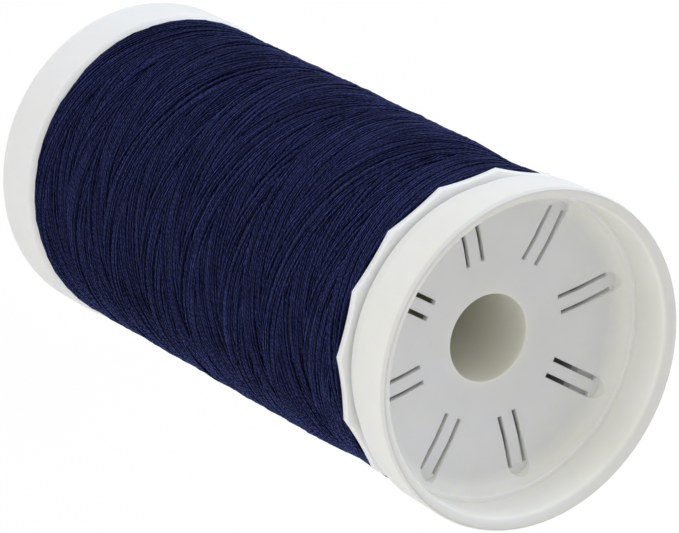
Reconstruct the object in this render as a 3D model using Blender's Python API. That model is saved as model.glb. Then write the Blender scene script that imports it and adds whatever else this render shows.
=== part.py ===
"""Spool of sewing thread that stands on its fixed flange, with its snap base on top.

The spool is a hollow plastic barrel with a plain flange at the foot and a thin scalloped flange near
the top. The snap base is a shallow cup that closes the top end. Hooks under its floor ride in a groove
inside the barrel, so the base lifts a little way along +Z and opens a slit for the thread's end.
The winding is a plain core with one unbroken outer layer of turns.

Metres, +Z up. The origin is the centre of the foot, on the surface that the spool stands on.
"""
import math

import bmesh
import bpy
from mathutils import Matrix, Vector

# Overall sizes.
SPOOL_LENGTH = 0.0644
RIM_RADIUS = 0.0150
EDGE_ROUND = 0.0004
FOOT_EDGE_ROUND = 0.0009
RIM_EDGE_ROUND = 0.0002
CLEARANCE = 0.0003
TURN_SEGMENTS = 64

# Bore for the spool pin, with a sleeve at each end.
BORE_RADIUS = 0.0039
SLEEVE_WALL = 0.0009
BORE_EDGE_ROUND = 0.0007
TOP_SLEEVE_LENGTH = 0.0200
FOOT_SLEEVE_LENGTH = 0.0200

# Foot flange.
FOOT_BAND_HEIGHT = 0.0054
FOOT_SHOULDER_HEIGHT = 0.0004
FOOT_SHOULDER_STEP = 0.0006
FOOT_WALL = 0.0014
FOOT_WEB = 0.0012
FOOT_FILLET = 0.0004

# Barrel.
BARREL_WALL = 0.0010
MOUTH_CHAMFER = 0.0003
LAND_LENGTH = 0.0030
GROOVE_DEPTH = 0.0005

# Scalloped flange that holds the winding.
SCALLOP_COUNT = 16
SCALLOP_SET_BACK = 0.0002
SCALLOP_DEPTH = 0.00041
SCALLOP_THICKNESS = 0.0007
SCALLOP_TURN = math.radians(5.08)

# Snap base: rim, band, narrow neck and dished floor.
CUP_DEPTH = 0.00585
FLOOR_THICKNESS = 0.0006
BAND_SET_BACK = 0.0001
BAND_DROP = 0.0045
NECK_SET_BACK = 0.00105
NECK_WALL = 0.00055
RIM_WIDTH = 0.00105
WALL_DRAFT = 0.0001
LEDGE_DROP = 0.0041
FLOOR_FILLET = 0.0015

# Snap base: fingers, slots and hooks.
FINGER_COUNT = 8
FINGER_HALF_WIDTH = 0.00103
FINGER_LENGTH = 0.0062
FINGER_WALL_GAP = 0.0002
FINGER_SINK = 0.0002
SLOT_OFFSET = 0.00075
SLOT_WIDTH = 0.0004
SLOT_LENGTH = 0.00515
SLOT_END_GAP = 0.0008
LIFT = 0.0025
HOOK_THICKNESS = 0.0009
HOOK_HEIGHT = 0.0012
HOOK_GAP_WIDTH = 0.0026

# Winding.
TURN_COUNT = 24
TURN_DIAMETER = 0.0015
TURN_POINTS = 24
WINDING_SET_BACK = 0.0003
WINDING_DEPTH = 0.0033
WINDING_TAPER = 0.00025
WINDING_WAIST = 0.00025
WAIST_SPAN = 0.0120
WAIST_STEPS = 6

# Heights and radii that follow from the sizes above.
SCALLOP_TIP_RADIUS = RIM_RADIUS - SCALLOP_SET_BACK
BAND_RADIUS = RIM_RADIUS - BAND_SET_BACK
WINDING_RADIUS = RIM_RADIUS - WINDING_SET_BACK
BARREL_OUTER_RADIUS = WINDING_RADIUS - WINDING_DEPTH
FLANGE_FACE_Z = FOOT_BAND_HEIGHT + FOOT_SHOULDER_HEIGHT
FLOOR_Z = SPOOL_LENGTH - CUP_DEPTH
UNDERSIDE_Z = FLOOR_Z - FLOOR_THICKNESS
SCALLOP_TOP_Z = UNDERSIDE_Z - CLEARANCE
SCALLOP_FACE_Z = SCALLOP_TOP_Z - SCALLOP_THICKNESS
BARREL_BORE = BARREL_OUTER_RADIUS - BARREL_WALL
LAND_BOTTOM_Z = SCALLOP_TOP_Z - LAND_LENGTH
GROOVE_RADIUS = BARREL_BORE + GROOVE_DEPTH
HOOK_TOP_Z = LAND_BOTTOM_Z - CLEARANCE - LIFT
HOOK_BOTTOM_Z = HOOK_TOP_Z - HOOK_HEIGHT
GROOVE_BOTTOM_Z = HOOK_BOTTOM_Z - CLEARANCE
SKIRT_OUTER_RADIUS = BARREL_BORE - CLEARANCE
SKIRT_INNER_RADIUS = SKIRT_OUTER_RADIUS - HOOK_THICKNESS
HOOK_RADIUS = GROOVE_RADIUS - CLEARANCE
NECK_RADIUS = RIM_RADIUS - NECK_SET_BACK
FLOOR_RADIUS = NECK_RADIUS - NECK_WALL
CUP_BORE = RIM_RADIUS - RIM_WIDTH
LEDGE_Z = SPOOL_LENGTH - LEDGE_DROP
SLEEVE_RADIUS = BORE_RADIUS + SLEEVE_WALL
FINGER_END_RADIUS = FLOOR_RADIUS - FINGER_WALL_GAP
FINGER_INNER_RADIUS = FINGER_END_RADIUS - FINGER_LENGTH
SLOT_OUTER_RADIUS = FINGER_END_RADIUS - SLOT_END_GAP
SLOT_INNER_RADIUS = SLOT_OUTER_RADIUS - SLOT_LENGTH


def clear_scene():
    """Remove whatever the file already holds."""
    for old in list(bpy.data.objects):
        bpy.data.objects.remove(old, do_unlink=True)


def material(name, colour, roughness):
    """Return a Principled material."""
    made = bpy.data.materials.new(name)
    made.use_nodes = True
    shader = made.node_tree.nodes["Principled BSDF"]
    shader.inputs["Base Color"].default_value = (*colour, 1.0)
    shader.inputs["Roughness"].default_value = roughness
    shader.inputs["Metallic"].default_value = 0.0
    return made


def arc(centre, radius, start, end, steps):
    """Return points on a circle in the profile plane, from start to end degrees."""
    points = []
    for i in range(steps + 1):
        angle = math.radians(start + (end - start) * i / steps)
        points.append((centre[0] + radius * math.cos(angle), centre[1] + radius * math.sin(angle)))
    return points


def add_object(name, bm, finish):
    """Turn a bmesh into a named object with its own finish."""
    mesh = bpy.data.meshes.new(name)
    bm.to_mesh(mesh)
    bm.free()
    made = bpy.data.objects.new(name, mesh)
    bpy.context.scene.collection.objects.link(made)
    if finish is not None:
        mesh.materials.append(finish)
        mesh.shade_smooth()
        mesh.set_sharp_from_angle(angle=math.radians(30))
    return made


def turned(outline):
    """Spin a closed (radius, height) outline into a ring about Z."""
    bm = bmesh.new()
    ring = [bm.verts.new((radius, 0.0, height)) for radius, height in outline]
    edges = [bm.edges.new((ring[i - 1], ring[i])) for i in range(len(ring))]
    bmesh.ops.spin(
        bm,
        geom=ring + edges,
        cent=(0.0, 0.0, 0.0),
        axis=(0.0, 0.0, 1.0),
        angle=2.0 * math.pi,
        steps=TURN_SEGMENTS,
        use_merge=True,
    )
    bmesh.ops.remove_doubles(bm, verts=bm.verts, dist=1e-7)
    bmesh.ops.recalc_face_normals(bm, faces=bm.faces)
    if bm.calc_volume(signed=True) < 0.0:
        bmesh.ops.reverse_faces(bm, faces=bm.faces)
    return bm


def cut(target, cutter):
    """Subtract a cutter, which stays as a hidden guide."""
    cutter.hide_render = True
    cutter.display_type = "WIRE"
    step = target.modifiers.new(cutter.name, "BOOLEAN")
    step.operation = "DIFFERENCE"
    step.solver = "EXACT"
    step.object = cutter


def prism(bm, outline, low, high):
    """Add a closed prism; low and high give the height of each end at a point (x, y)."""
    base = [bm.verts.new((x, y, low(x, y))) for x, y in outline]
    lid = [bm.verts.new((x, y, high(x, y))) for x, y in outline]
    bm.faces.new(list(reversed(base)))
    bm.faces.new(lid)
    for i in range(len(outline)):
        j = (i + 1) % len(outline)
        bm.faces.new((base[i], base[j], lid[j], lid[i]))
    return base + lid


def body_outline():
    """Closed outline of the barrel, the foot flange and the scalloped flange."""
    flat = RIM_RADIUS - FOOT_EDGE_ROUND
    recess = RIM_RADIUS - FOOT_WALL
    ceiling = FLANGE_FACE_Z - FOOT_WEB
    sleeve_top = ceiling + FOOT_SLEEVE_LENGTH
    outline = [(recess, 0.0)]
    outline += arc((flat, FOOT_EDGE_ROUND), FOOT_EDGE_ROUND, -90.0, 0.0, 4)
    outline += [
        (RIM_RADIUS, FOOT_BAND_HEIGHT),
        (RIM_RADIUS - FOOT_SHOULDER_STEP, FLANGE_FACE_Z),
        (BARREL_OUTER_RADIUS, FLANGE_FACE_Z),
        (BARREL_OUTER_RADIUS, SCALLOP_FACE_Z),
        (SCALLOP_TIP_RADIUS, SCALLOP_FACE_Z),
        (SCALLOP_TIP_RADIUS, SCALLOP_TOP_Z),
        (BARREL_BORE + MOUTH_CHAMFER, SCALLOP_TOP_Z),
        (BARREL_BORE, SCALLOP_TOP_Z - MOUTH_CHAMFER),
        (BARREL_BORE, LAND_BOTTOM_Z),
        (GROOVE_RADIUS, LAND_BOTTOM_Z),
        (GROOVE_RADIUS, GROOVE_BOTTOM_Z),
        (BARREL_BORE, GROOVE_BOTTOM_Z - GROOVE_DEPTH),
        (BARREL_BORE, FLANGE_FACE_Z),
        (SLEEVE_RADIUS, FLANGE_FACE_Z),
        (SLEEVE_RADIUS, sleeve_top),
        (BORE_RADIUS, sleeve_top),
    ]
    outline += arc((BORE_RADIUS + BORE_EDGE_ROUND, ceiling + BORE_EDGE_ROUND), BORE_EDGE_ROUND, 180.0, 270.0, 3)
    outline += arc((recess - FOOT_FILLET, ceiling - FOOT_FILLET), FOOT_FILLET, 90.0, 0.0, 2)
    return outline


def scallop_radius(angle):
    """Radius of the scalloped edge: sharp tips joined by shallow hollows."""
    along = (angle * SCALLOP_COUNT / (2.0 * math.pi)) % 1.0
    return SCALLOP_TIP_RADIUS - SCALLOP_DEPTH * 4.0 * along * (1.0 - along)


def make_body(finish):
    """Fixed moulding: foot flange, barrel with its hook groove, and scalloped flange."""
    bm = turned(body_outline())
    for vert in bm.verts:
        radius = vert.co.xy.length
        if vert.co.z > SCALLOP_FACE_Z - CLEARANCE and radius > SCALLOP_TIP_RADIUS - CLEARANCE:
            vert.co.xy *= scallop_radius(math.atan2(vert.co.y, vert.co.x) + 1e-6) / radius
    bmesh.ops.rotate(bm, verts=bm.verts, cent=(0, 0, 0), matrix=Matrix.Rotation(SCALLOP_TURN, 3, "Z"))
    return add_object("spool_body", bm, finish)


def base_outline():
    """Closed outline of the snap base: rim, band, neck, hook skirt, bore sleeve and dished floor."""
    outline = arc((RIM_RADIUS - RIM_EDGE_ROUND, SPOOL_LENGTH - RIM_EDGE_ROUND), RIM_EDGE_ROUND, 90.0, 0.0, 2)
    outline += [
        (BAND_RADIUS, SPOOL_LENGTH - BAND_DROP),
        (NECK_RADIUS, SPOOL_LENGTH - BAND_DROP),
        (NECK_RADIUS, UNDERSIDE_Z),
        (SKIRT_OUTER_RADIUS, UNDERSIDE_Z),
        (SKIRT_OUTER_RADIUS, HOOK_TOP_Z),
        (HOOK_RADIUS, HOOK_TOP_Z),
        (HOOK_RADIUS, HOOK_TOP_Z - HOOK_HEIGHT / 3.0),
        (SKIRT_OUTER_RADIUS, HOOK_BOTTOM_Z),
        (SKIRT_INNER_RADIUS, HOOK_BOTTOM_Z),
        (SKIRT_INNER_RADIUS, UNDERSIDE_Z),
        (SLEEVE_RADIUS, UNDERSIDE_Z),
        (SLEEVE_RADIUS, FLOOR_Z - TOP_SLEEVE_LENGTH),
        (BORE_RADIUS, FLOOR_Z - TOP_SLEEVE_LENGTH),
    ]
    outline += arc((BORE_RADIUS + BORE_EDGE_ROUND, FLOOR_Z - BORE_EDGE_ROUND), BORE_EDGE_ROUND, 180.0, 90.0, 3)
    outline += arc((FLOOR_RADIUS - FLOOR_FILLET, FLOOR_Z + FLOOR_FILLET), FLOOR_FILLET, -90.0, 0.0, 4)
    outline += [(FLOOR_RADIUS, LEDGE_Z), (CUP_BORE - WALL_DRAFT, LEDGE_Z)]
    outline += arc((CUP_BORE + EDGE_ROUND, SPOOL_LENGTH - EDGE_ROUND), EDGE_ROUND, 180.0, 90.0, 3)
    return outline


def finger_outline():
    """Outline of one finger mark along +X: square inner end, round outer end."""
    centre = FINGER_END_RADIUS - FINGER_HALF_WIDTH
    outline = [(FINGER_INNER_RADIUS, -FINGER_HALF_WIDTH)]
    outline += arc((centre, 0.0), FINGER_HALF_WIDTH, -90.0, 90.0, 8)
    outline += [(FINGER_INNER_RADIUS, FINGER_HALF_WIDTH)]
    return outline


def finger_sink(x, _y):
    """Height of a finger mark's ramp: level with the floor inside, sunk at the rim."""
    along = (x - FINGER_INNER_RADIUS) / (FINGER_END_RADIUS - FINGER_INNER_RADIUS)
    return FLOOR_Z + FINGER_SINK * (0.05 - along)


def slot_outline(side):
    """Outline of one slot along +X, on one side of a finger."""
    near = side * SLOT_OFFSET - SLOT_WIDTH / 2.0
    far = near + SLOT_WIDTH
    return [
        (SLOT_INNER_RADIUS, near),
        (SLOT_OUTER_RADIUS, near),
        (SLOT_OUTER_RADIUS, far),
        (SLOT_INNER_RADIUS, far),
    ]


def hook_gap_outline():
    """Outline of one gap in the hook skirt, under a finger."""
    half = HOOK_GAP_WIDTH / 2.0
    inner = SKIRT_INNER_RADIUS - CLEARANCE - HOOK_THICKNESS
    outer = HOOK_RADIUS + HOOK_THICKNESS
    return [(inner, -half), (outer, -half), (outer, half), (inner, half)]


def finger_cutter(name, outlines, low, high):
    """Cutter that repeats its outlines once for each finger."""
    bm = bmesh.new()
    for i in range(FINGER_COUNT):
        turn = Matrix.Rotation(2.0 * math.pi * i / FINGER_COUNT, 3, "Z")
        for outline in outlines:
            verts = prism(bm, outline, low, high)
            bmesh.ops.rotate(bm, verts=verts, cent=(0, 0, 0), matrix=turn)
    return add_object(name, bm, None)


def make_base(finish):
    """Moving moulding: cup with its finger marks, slots, hooks and bore sleeve."""
    base = add_object("snap_base", turned(base_outline()), finish)
    above = FLOOR_Z + CUP_DEPTH / 2.0
    marks = finger_cutter("finger_marks", [finger_outline()], finger_sink, lambda x, y: above)
    slots = finger_cutter(
        "finger_slots",
        [slot_outline(-1.0), slot_outline(1.0)],
        lambda x, y: UNDERSIDE_Z - CLEARANCE / 2.0,
        lambda x, y: above,
    )
    gaps = finger_cutter(
        "hook_gaps",
        [hook_gap_outline()],
        lambda x, y: HOOK_BOTTOM_Z - CLEARANCE,
        lambda x, y: UNDERSIDE_Z,
    )
    cut(base, marks)
    cut(base, slots)
    cut(base, gaps)
    return base


def winding_radius(height):
    """Outer radius of the winding: tapered upwards, and drawn in a little near the scalloped flange."""
    along = (height - FLANGE_FACE_Z) / (SCALLOP_FACE_Z - FLANGE_FACE_Z)
    near = max(0.0, 1.0 - (SCALLOP_FACE_Z - height) / WAIST_SPAN)
    return WINDING_RADIUS - WINDING_TAPER * along - WINDING_WAIST * math.sin(math.pi * near) ** 2


def make_core(finish):
    """Plain core of the winding, one turn's thickness under its surface."""
    sag = WINDING_RADIUS * (1.0 - math.cos(math.pi / TURN_POINTS))
    depth = TURN_DIAMETER + sag + CLEARANCE
    inner = BARREL_OUTER_RADIUS + CLEARANCE
    low = FLANGE_FACE_Z + CLEARANCE
    high = SCALLOP_FACE_Z - CLEARANCE
    outline = [(inner, low), (winding_radius(low) - depth, low)]
    for i in range(WAIST_STEPS + 1):
        height = high - WAIST_SPAN * (1.0 - i / WAIST_STEPS)
        outline.append((winding_radius(height) - depth, height))
    outline.append((inner, high))
    return add_object("thread_core", turned(outline), finish)


def turn_points():
    """Centre line of the outer layer: a helix with one straight tube diameter at each end."""
    half = TURN_DIAMETER / 2.0
    low = FLANGE_FACE_Z + CLEARANCE + TURN_DIAMETER / 20.0 + half
    high = SCALLOP_FACE_Z - CLEARANCE - TURN_DIAMETER / 20.0 - half
    total = TURN_COUNT * TURN_POINTS
    points = []
    for i in range(total + 1):
        angle = 2.0 * math.pi * i / TURN_POINTS
        height = low + (high - low) * i / total
        radius = winding_radius(height) - half
        points.append(Vector((radius * math.cos(angle), radius * math.sin(angle), height)))
    start = points[0] + (points[0] - points[1]).normalized() * TURN_DIAMETER
    end = points[-1] + (points[-1] - points[-2]).normalized() * TURN_DIAMETER
    return [start] + points + [end]


def least_gap(points):
    """Smallest clear distance between stretches of the tube at least half a turn apart."""
    least = math.inf
    for i, point in enumerate(points):
        first = i + TURN_POINTS // 2
        for other in points[first:first + 2 * TURN_POINTS]:
            least = min(least, (other - point).length)
    return least - TURN_DIAMETER


def make_turns(finish):
    """Outer layer of the winding: one unbroken tube."""
    points = turn_points()
    print(f"least gap between turns {least_gap(points) * 1000.0:.3f} mm")
    curve = bpy.data.curves.new("thread_turns", "CURVE")
    curve.dimensions = "3D"
    curve.bevel_depth = TURN_DIAMETER / 2.0
    curve.bevel_resolution = 1
    curve.use_fill_caps = True
    spline = curve.splines.new("POLY")
    spline.points.add(len(points) - 1)
    for target, point in zip(spline.points, points):
        target.co = (*point, 1.0)
    curve.materials.append(finish)
    made = bpy.data.objects.new("thread_turns", curve)
    bpy.context.scene.collection.objects.link(made)
    return made


def main():
    """Build the four pieces, with the two that travel together under one parent each."""
    clear_scene()
    shell = material("white_shell", (0.80, 0.80, 0.78), 0.42)
    cap = material("white_base", (0.82, 0.82, 0.80), 0.40)
    inner = material("navy_core", (0.005, 0.008, 0.035), 0.75)
    thread = material("navy_thread", (0.006, 0.010, 0.045), 0.60)
    body = make_body(shell)
    base = make_base(cap)
    core = make_core(inner)
    turns = make_turns(thread)
    core.parent = body
    turns.parent = body
    base.parent = body


main()
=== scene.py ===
"""Looks of a spool of sewing thread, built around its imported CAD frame.

The spool stands on its foot flange. The snap base, a shallow cup with eight finger marks, is on top.
Sizes are in metres.
"""

import logging
import math
from dataclasses import dataclass, field
from enum import Enum
from typing import Callable

import bmesh
import bpy
from mathutils import Matrix, Quaternion, Vector


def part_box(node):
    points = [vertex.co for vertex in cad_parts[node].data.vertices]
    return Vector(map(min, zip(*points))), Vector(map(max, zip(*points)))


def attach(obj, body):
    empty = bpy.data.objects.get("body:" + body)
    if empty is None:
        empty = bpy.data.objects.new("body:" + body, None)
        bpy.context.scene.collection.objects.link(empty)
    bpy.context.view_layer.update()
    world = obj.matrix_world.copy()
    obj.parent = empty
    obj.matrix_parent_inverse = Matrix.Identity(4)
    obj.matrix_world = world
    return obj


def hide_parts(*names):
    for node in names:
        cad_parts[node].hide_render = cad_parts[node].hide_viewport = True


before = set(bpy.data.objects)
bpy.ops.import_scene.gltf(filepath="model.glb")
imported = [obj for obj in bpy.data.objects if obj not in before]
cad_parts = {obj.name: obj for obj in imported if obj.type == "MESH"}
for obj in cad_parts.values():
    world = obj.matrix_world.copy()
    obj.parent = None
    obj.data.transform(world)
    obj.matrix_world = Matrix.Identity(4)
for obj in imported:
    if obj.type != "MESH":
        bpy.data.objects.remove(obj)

LOG = logging.getLogger("spool")
MM = 0.001
MOULDED_SHARP = 28.0
THREAD_MAP = "ThreadMap"
BURIED = "Buried"
Point = tuple[float, float]
Colour = tuple[float, float, float]
Socket = bpy.types.NodeSocket

# The shell's white is set lighter than the cup's: painted light that makes up for the dimmer light near the
# floor.
SHELL_WHITE: Colour = (0.91, 0.91, 0.895)
SHELL_SHADE: Colour = (0.88, 0.88, 0.855)
CUP_WHITE: Colour = (0.85, 0.845, 0.825)
CUP_SHADE: Colour = (0.81, 0.81, 0.78)


class Body(Enum):
    """Bodies of the frame that the pieces ride on."""

    SPOOL = "spool"
    BASE = "base"


class Slot(Enum):
    """Material slots of the record that the pieces take their finish from."""

    SHELL = "white_shell"
    BASE = "white_base"
    CORE = "navy_core"
    THREAD = "navy_thread"


class Shader:
    """Short way to add and join the nodes of one material or node tree."""

    MIX_COLOURS = (6, 7)
    MIX_RESULT = 2

    def __init__(self, tree: bpy.types.NodeTree) -> None:
        """Keep the tree that the nodes go in."""
        self.tree = tree

    def join(self, source: Socket, target: Socket) -> None:
        """Link an output socket to an input socket."""
        self.tree.links.new(source, target)

    def fill(self, node: bpy.types.Node, inputs: dict[str | int, object]) -> None:
        """Give a node's inputs their sockets or fixed values.

        Args:
            node: The node.
            inputs: Sockets and values by the inputs' names or numbers.
        """
        for place, value in inputs.items():
            if isinstance(value, Socket):
                self.join(value, node.inputs[place])
            else:
                node.inputs[place].default_value = value

    def add(
        self, kind: str, inputs: dict[str | int, object] | None = None, **settings: object
    ) -> bpy.types.Node:
        """Add a node, set its properties and fill its inputs.

        Args:
            kind: The node's type.
            inputs: Sockets and values by the inputs' names or numbers.
            settings: Properties to set on it.

        Returns:
            The new node.
        """
        node = self.tree.nodes.new(kind)
        for name, value in settings.items():
            setattr(node, name, value)
        self.fill(node, inputs or {})
        return node

    def math(self, operation: str, *values: object) -> Socket:
        """Add a Math node.

        Args:
            operation: The sum to do.
            values: Numbers or sockets, in order.

        Returns:
            Its result.
        """
        return self.add("ShaderNodeMath", dict(enumerate(values)), operation=operation).outputs[0]

    def vector(self, **parts: Socket) -> Socket:
        """Make a vector of sockets called X, Y and Z, with 0 for one that is left out."""
        return self.add("ShaderNodeCombineXYZ", parts).outputs[0]

    def parts(self, vector: Socket) -> bpy.types.NodeOutputs:
        """Take a vector apart into outputs called X, Y and Z."""
        return self.add("ShaderNodeSeparateXYZ", {0: vector}).outputs

    def noise(
        self, vector: Socket, scale: float, detail: float = 2.0, fourth: Socket | None = None
    ) -> Socket:
        """Add a noise.

        Args:
            vector: Where to read it.
            scale: Features in a step of one.
            detail: Octaves.
            fourth: Fourth coordinate, if it has one.

        Returns:
            The noise's value, about 0.5 on average.
        """
        inputs = {"Vector": vector, "Scale": scale, "Detail": detail}
        if fourth is None:
            return self.add("ShaderNodeTexNoise", inputs, noise_dimensions="3D").outputs[0]
        return self.add("ShaderNodeTexNoise", {**inputs, "W": fourth}, noise_dimensions="4D").outputs[0]

    def line_noise(self, value: Socket, scale: float) -> Socket:
        """Add a noise along one line.

        Args:
            value: Where to read it.
            scale: Features in a step of one.

        Returns:
            The noise's value, about 0.5 on average.
        """
        inputs = {"W": value, "Scale": scale, "Detail": 1.0}
        return self.add("ShaderNodeTexNoise", inputs, noise_dimensions="1D").outputs[0]

    def span(
        self,
        value: Socket,
        low: float,
        high: float,
        start: float = 0.3,
        end: float = 0.7,
        smooth: bool = False,
    ) -> Socket:
        """Spread a value between two numbers.

        Args:
            value: What to spread.
            low: Result at start.
            high: Result at end.
            start: Lowest input.
            end: Highest input.
            smooth: Ease in and out.

        Returns:
            The spread value.
        """
        inputs = {"Value": value, "From Min": start, "From Max": end, "To Min": low, "To Max": high}
        way = "SMOOTHSTEP" if smooth else "LINEAR"
        return self.add("ShaderNodeMapRange", inputs, interpolation_type=way).outputs[0]

    def mix(self, factor: Socket, first: Colour | Socket, second: Colour | Socket) -> Socket:
        """Blend two colours.

        Args:
            factor: Share of the second colour.
            first: Colour at 0, fixed or from a node.
            second: Colour at 1, fixed or from a node.

        Returns:
            The blended colour.
        """
        inputs: dict[str | int, object] = {0: factor}
        for place, colour in zip(self.MIX_COLOURS, (first, second)):
            inputs[place] = (*colour, 1.0) if isinstance(colour, tuple) else colour
        return self.add("ShaderNodeMix", inputs, data_type="RGBA").outputs[self.MIX_RESULT]

    def bump(self, height: Socket, strength: float, distance: float) -> Socket:
        """Turn a pattern into small relief.

        Args:
            height: The pattern.
            strength: Share of the relief that shows.
            distance: Depth of the relief.

        Returns:
            The normal of the relief.
        """
        inputs = {"Height": height, "Strength": strength, "Distance": distance}
        return self.add("ShaderNodeBump", inputs).outputs[0]


def new_material(name: str) -> tuple[bpy.types.Material, Shader, bpy.types.Node]:
    """Start a Principled material.

    Args:
        name: The material's name.

    Returns:
        The material, its node writer and its Principled node.
    """
    made = bpy.data.materials.new(name)
    made.use_nodes = True
    return made, Shader(made.node_tree), made.node_tree.nodes["Principled BSDF"]


@dataclass(frozen=True)
class PlasticFinish:
    """White moulded plastic that lets a little light in.

    Its colour holds painted shade: darker and yellower within the bore, and darker on the flat top of the rim.
    """

    name: str
    colour: Colour
    shade: Colour
    cloud_scale: float = 140.0
    cloud_detail: float = 3.0
    # Painted shade: darker, yellower colour within the bore.
    painted_bore_shade: Colour = (0.87, 0.86, 0.77)
    bore: float = 0.0041
    bore_edge: float = 0.0001
    # Painted shade: darker colour on the flat top of the rim.
    painted_rim_top_shade: Colour = (0.70, 0.695, 0.68)
    face: float = 0.0641
    face_edge: float = 0.0003
    roughness: float = 0.38
    smoother: float = 0.06
    rougher: float = 0.08
    smear_scale: float = 420.0
    smear_detail: float = 4.0
    grain: float = 0.012
    grain_scale: float = 2600.0
    grain_depth: float = 0.0002
    glow: float = 0.8
    glow_reach: Colour = (1.0, 0.95, 0.75)
    glow_depth: float = 0.0010
    refraction: float = 1.49
    specular: float = 0.40

    def build(self) -> bpy.types.Material:
        """Make the material.

        Returns:
            The finished material.
        """
        made, nodes, surface = new_material(self.name)
        place = nodes.add("ShaderNodeTexCoord").outputs["Object"]
        level = {0: place, 1: (1.0, 1.0, 0.0)}
        level = {0: nodes.add("ShaderNodeVectorMath", level, operation="MULTIPLY").outputs[0]}
        radius = nodes.add("ShaderNodeVectorMath", level, operation="LENGTH").outputs["Value"]
        cloud = nodes.span(nodes.noise(place, self.cloud_scale, self.cloud_detail), 0.0, 1.0)
        inside = nodes.span(radius, 1.0, 0.0, self.bore - self.bore_edge, self.bore)
        on_top = nodes.span(nodes.parts(place)["Z"], 0.0, 1.0, self.face - self.face_edge, self.face)
        colour = nodes.mix(cloud, self.colour, self.shade)
        # Painted shade: the colour turns darker and yellower within the bore.
        colour = nodes.mix(inside, colour, self.painted_bore_shade)
        # Painted shade: the colour turns darker on the flat top of the rim.
        colour = nodes.mix(on_top, colour, self.painted_rim_top_shade)
        smear = nodes.noise(place, self.smear_scale, self.smear_detail)
        peel = nodes.noise(place, self.grain_scale)
        nodes.fill(surface, {
            "Base Color": colour,
            "Roughness": nodes.span(smear, self.roughness - self.smoother, self.roughness + self.rougher),
            "Normal": nodes.bump(peel, self.grain, self.grain_depth),
            "Subsurface Weight": self.glow,
            "Subsurface Radius": self.glow_reach,
            "Subsurface Scale": self.glow_depth,
            "IOR": self.refraction,
            "Specular IOR Level": self.specular,
        })
        return made


@dataclass(frozen=True)
class ThreadFinish:
    """Navy polyester thread of two twisted plies. Its colour holds painted shade where a newer thread lies over
    it and along each thread's sides, and painted highlights along the plies.

    Lengths along the thread are in millimetres, as in its own map.
    """

    name: str
    colour: Colour = (0.0010, 0.0016, 0.0100)
    light: Colour = (0.0330, 0.0355, 0.1080)
    ply_pitch: float = 1.05
    pitch_scale: float = 0.8
    plies: float = 2.0
    # Painted highlight: how much lighter each ply's crest is than the valley between plies.
    ply_painted_highlight: float = 0.26
    fibre_along: float = 3.0
    fibre_across: float = 11.0
    fibre_dark: float = 0.22
    fibre_light: float = 0.54
    streak_scale: float = 0.22
    streak_dark: float = 0.25
    # Painted shade: how much darker a thread is where a newer thread lies over it.
    buried_painted_shade: float = 0.90
    fibre_relief: float = 0.4
    relief: float = 0.000025
    roughness: float = 0.50
    specular: float = 0.025
    sheen: float = 0.85
    sheen_roughness: float = 0.32
    sheen_tint: Colour = (0.18, 0.27, 0.95)

    def build(self) -> bpy.types.Material:
        """Make the material; the plies follow the thread's own map.

        Returns:
            The finished material.
        """
        made, nodes, surface = new_material(self.name)
        thread_map = nodes.parts(nodes.add("ShaderNodeUVMap", uv_map=THREAD_MAP).outputs[0])
        length, around = thread_map["X"], thread_map["Y"]
        along = nodes.math("DIVIDE", length, self.ply_pitch)
        along = nodes.math("ADD", along, nodes.line_noise(length, self.pitch_scale))
        twist = nodes.math("ADD", along, around)
        turn = nodes.math("MULTIPLY", twist, 2.0 * math.pi * self.plies)
        lobe = nodes.math("MULTIPLY_ADD", nodes.math("SINE", turn), 0.5, 0.5)
        slant = nodes.vector(
            X=nodes.math("MULTIPLY", along, self.fibre_along),
            Y=nodes.math("MULTIPLY", twist, self.fibre_across),
        )
        fibre = nodes.noise(slant, 1.0, 1.0)
        ply = nodes.span(fibre, self.fibre_dark, self.fibre_light)
        # Painted highlight along each ply's crest, with painted shade between the plies.
        ply = nodes.math("MULTIPLY_ADD", lobe, self.ply_painted_highlight, ply)
        # Painted shade: darker colour on each thread's sides and inner face, where it meets its neighbours.
        outward = nodes.math("COSINE", nodes.math("MULTIPLY", around, 2.0 * math.pi))
        crest = nodes.math("MULTIPLY_ADD", outward, -0.5, 0.5)
        streak = nodes.span(nodes.line_noise(length, self.streak_scale), self.streak_dark, 1.0)
        # Painted shade: darker colour where a newer thread lies over this one.
        buried = nodes.add("ShaderNodeAttribute", attribute_name=BURIED).outputs["Fac"]
        bare = nodes.math("MULTIPLY_ADD", buried, -self.buried_painted_shade, 1.0)
        share = nodes.math("MULTIPLY", nodes.math("MULTIPLY", ply, crest), nodes.math("MULTIPLY", streak, bare))
        height = nodes.math("MULTIPLY_ADD", fibre, self.fibre_relief, lobe)
        nodes.fill(surface, {
            "Base Color": nodes.mix(share, self.colour, self.light),
            "Normal": nodes.bump(height, 1.0, self.relief),
            "Roughness": self.roughness,
            "Specular IOR Level": self.specular,
            "Sheen Weight": self.sheen,
            "Sheen Roughness": self.sheen_roughness,
            "Sheen Tint": (*self.sheen_tint, 1.0),
        })
        return made


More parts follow.
